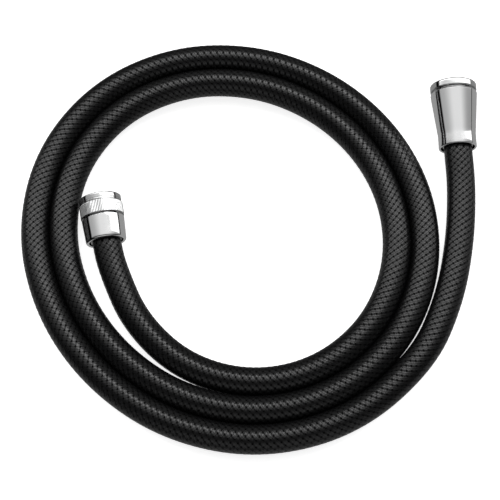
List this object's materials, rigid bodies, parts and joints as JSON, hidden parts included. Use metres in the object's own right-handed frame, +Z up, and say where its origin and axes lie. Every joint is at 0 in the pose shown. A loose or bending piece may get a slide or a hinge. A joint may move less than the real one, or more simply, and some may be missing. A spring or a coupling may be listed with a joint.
{
  "type": "shower supply hose",
  "caption": "Coiled black braided shower hose with a knurled screw nut on one end and a conical swivel nut on the other.",
  "frame": {"origin": "middle of the coiled hose's footprint, on the surface that it lies on", "axes": "+Z up, out of the coil's plane; +X across the coil towards the handset end, its longest extent; +Y the way both open ends point, nearly"},
  "size_m": [0.2448, 0.2292, 0.0255],
  "materials": {
    "liner_rubber": "smooth rubber",
    "white_yarn": "polyester yarn",
    "black_jacket": "matte",
    "black_braid": "tight diamond braid with a low sheen",
    "brass": "turned",
    "stainless": "satin",
    "washer_rubber": "matte rubber",
    "white_acetal": "moulded",
    "chrome_plate": "mirror chrome"
  },
  "bodies": {
    "hose": {"hose_liner": "liner_rubber", "hose_yarn_layer": "white_yarn", "hose_jacket": "black_jacket", "hose_braid": "black_braid", "valve_stem": "brass", "valve_ferrule": "stainless", "valve_washer": "washer_rubber", "handset_swivel_body": "brass", "handset_ferrule": "stainless", "handset_snap_ring": "stainless"},
    "valve_slider": {"valve_slip_ring": "white_acetal"},
    "valve_nut": {"valve_nut": "chrome_plate", "valve_sleeve": "chrome_plate"},
    "handset_spindle": {"handset_spindle": "brass", "handset_o_ring_front": "washer_rubber", "handset_o_ring_rear": "washer_rubber", "handset_washer": "washer_rubber", "handset_strainer": "stainless"},
    "handset_slider": {"handset_slip_ring": "white_acetal"},
    "handset_nut": {"handset_thread_bush": "chrome_plate", "handset_cone": "chrome_plate"}
  },
  "joints": [
    {"name": "valve_nut_slide", "type": "slide", "parent": "hose", "child": "valve_slider", "axis": [0.1734, -0.9836, -0.0488], "range_m": [0, 0.0016]},
    {"name": "valve_nut_spin", "type": "hinge", "parent": "valve_slider", "child": "valve_nut", "pos_m": [-0.08079, 0.02174, 0.01221], "axis": [-0.1734, 0.9836, 0.0488], "continuous": true},
    {"name": "handset_swivel", "type": "hinge", "parent": "hose", "child": "handset_spindle", "pos_m": [0.10962, 0.08792, 0.01307], "axis": [-0.0348, 0.9967, 0.0732], "continuous": true},
    {"name": "handset_nut_slide", "type": "slide", "parent": "handset_spindle", "child": "handset_slider", "axis": [0.0348, -0.9967, -0.0732], "range_m": [0, 0.0016]},
    {"name": "handset_nut_spin", "type": "hinge", "parent": "handset_slider", "child": "handset_nut", "pos_m": [0.10962, 0.08792, 0.01307], "axis": [-0.0348, 0.9967, 0.0732], "continuous": true}
  ]
}
